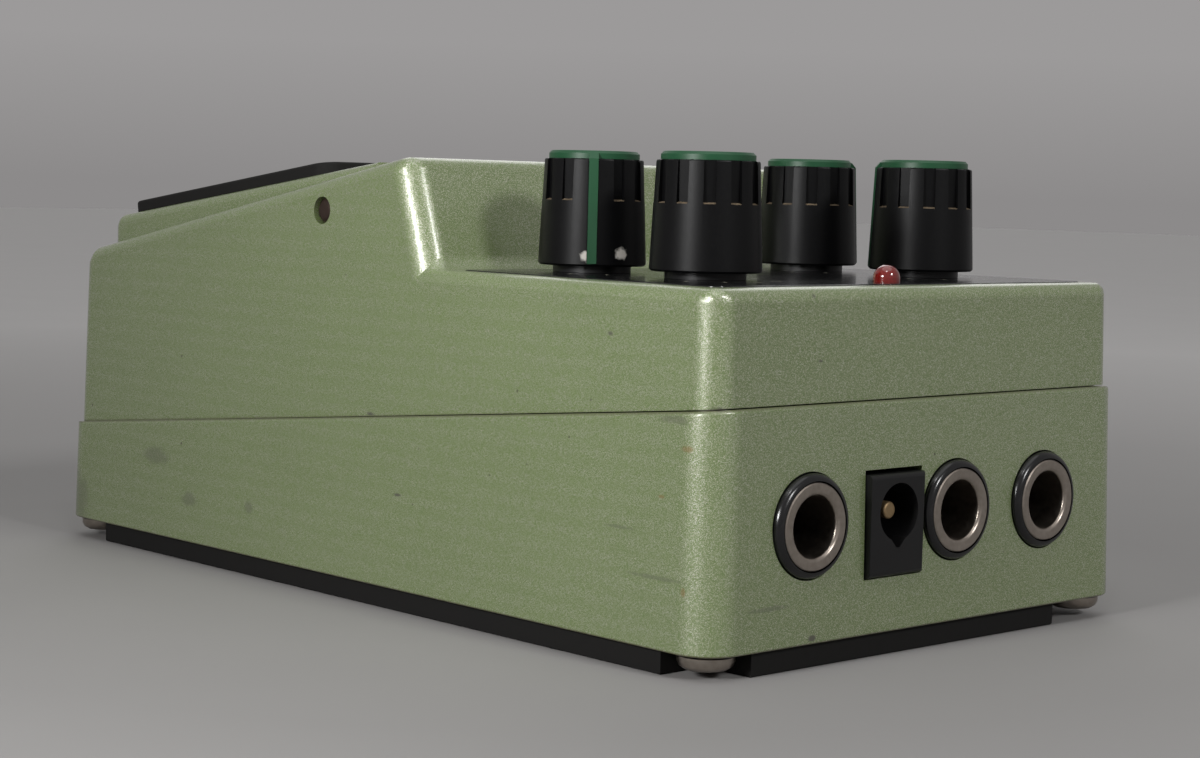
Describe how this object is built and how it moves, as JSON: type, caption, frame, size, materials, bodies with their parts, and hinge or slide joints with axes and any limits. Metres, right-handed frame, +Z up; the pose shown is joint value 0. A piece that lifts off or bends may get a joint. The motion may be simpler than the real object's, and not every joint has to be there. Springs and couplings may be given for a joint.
{
  "type": "digital delay pedal",
  "caption": "Compact floor effects pedal with a sprung foot treadle, turning knobs on a raised deck, jack sockets in the rear face and a battery door underneath.",
  "frame": {"origin": "on the floor under the middle of the whole pedal, the proud sockets included", "axes": "+X to the right of a player who stands at -Y, +Y towards the socket face, +Z up"},
  "size_m": [0.07, 0.1252, 0.0533],
  "materials": {
    "green_paint": "satin metallic enamel on zinc and steel",
    "zinc_steel": "zinc plated",
    "dark_steel": "dull and darkened",
    "nickel_plate": "worn nickel plate",
    "brass": "plain",
    "black_rubber": "matt",
    "black_moulding": "fine satin",
    "knob_black": "satin",
    "cap_green": "satin",
    "panel_gloss_black": "gloss",
    "led_red": "clear tinted",
    "circuit_board": "solder mask",
    "capacitor_sleeve": "shrink sleeve",
    "ribbon_grey": "plain",
    "battery_jacket": null
  },
  "bodies": {
    "housing": {"upper_case": "green_paint", "lower_case": "green_paint", "bottom_plate": "zinc_steel", "rubber_mat": "black_rubber", "base_screw_1": "nickel_plate", "base_screw_2": "nickel_plate", "base_screw_3": "nickel_plate", "base_screw_4": "nickel_plate", "control_panel": "panel_gloss_black", "hinge_pin": "dark_steel", "return_spring": "zinc_steel", "switch_body": "black_moulding", "switch_nut": "zinc_steel", "pot_level": "zinc_steel", "pot_feedback": "zinc_steel", "pot_time": "zinc_steel", "pot_mode": "zinc_steel", "nut_level": "black_moulding", "nut_feedback": "black_moulding", "nut_time": "black_moulding", "nut_mode": "black_moulding", "led": "led_red", "jack_body_input": "black_moulding", "jack_body_output": "black_moulding", "jack_body_direct": "black_moulding", "bush_input": "nickel_plate", "bush_output": "nickel_plate", "bush_direct": "nickel_plate", "dc_inlet": "black_moulding", "dc_pin": "brass", "main_board": "circuit_board", "control_board": "circuit_board", "board_link": "ribbon_grey", "delay_chip": "black_moulding", "memory_chip": "black_moulding", "filter_capacitor": "capacitor_sleeve", "battery": "battery_jacket", "battery_snap": "black_moulding"},
    "treadle": {"treadle_plate": "green_paint", "treadle_pad": "black_rubber"},
    "plunger": {"switch_plunger": "zinc_steel"},
    "level_control": {"knob_level": "knob_black", "cap_level": "cap_green", "shaft_level": "zinc_steel"},
    "feedback_control": {"knob_feedback": "knob_black", "cap_feedback": "cap_green", "shaft_feedback": "zinc_steel"},
    "time_control": {"knob_time": "knob_black", "cap_time": "cap_green", "shaft_time": "zinc_steel"},
    "mode_control": {"knob_mode": "knob_black", "cap_mode": "cap_green", "shaft_mode": "zinc_steel"},
    "door": {"battery_door": "black_moulding"}
  },
  "joints": [
    {"name": "treadle_press", "type": "hinge", "parent": "housing", "child": "treadle", "pos_m": [0, -0.00587, 0.0457], "axis": [1, 0, 0], "range_deg": [0, 2.9], "stiffness_Nm_per_rad": 0.8, "springref_deg": -11.46, "deforming": ["return_spring"]},
    {"name": "plunger_slide", "type": "slide", "parent": "housing", "child": "plunger", "axis": [0, 0.1857, -0.9826], "range_m": [0, 0.002]},
    {"name": "level_turn", "type": "hinge", "parent": "housing", "child": "level_control", "pos_m": [-0.0181, 0.04353, 0.0404], "axis": [0, 0, 1], "range_deg": [-17, 283]},
    {"name": "feedback_turn", "type": "hinge", "parent": "housing", "child": "feedback_control", "pos_m": [0.0181, 0.04353, 0.0404], "axis": [0, 0, 1], "range_deg": [-287, 13]},
    {"name": "time_turn", "type": "hinge", "parent": "housing", "child": "time_control", "pos_m": [-0.0181, 0.02533, 0.0404], "axis": [0, 0, 1], "range_deg": [-196, 104]},
    {"name": "mode_turn", "type": "hinge", "parent": "housing", "child": "mode_control", "pos_m": [0.0181, 0.02533, 0.0404], "axis": [0, 0, 1], "range_deg": [-107, 193]},
    {"name": "battery_door_swing", "type": "hinge", "parent": "housing", "child": "door", "pos_m": [0, -0.04927, 0.0032], "axis": [-1, 0, 0], "range_deg": [0, 90]}
  ],
  "couplings": [
    {"joint": "plunger_slide", "follows": "treadle_press", "m_per_rad": 0.0328}
  ]
}
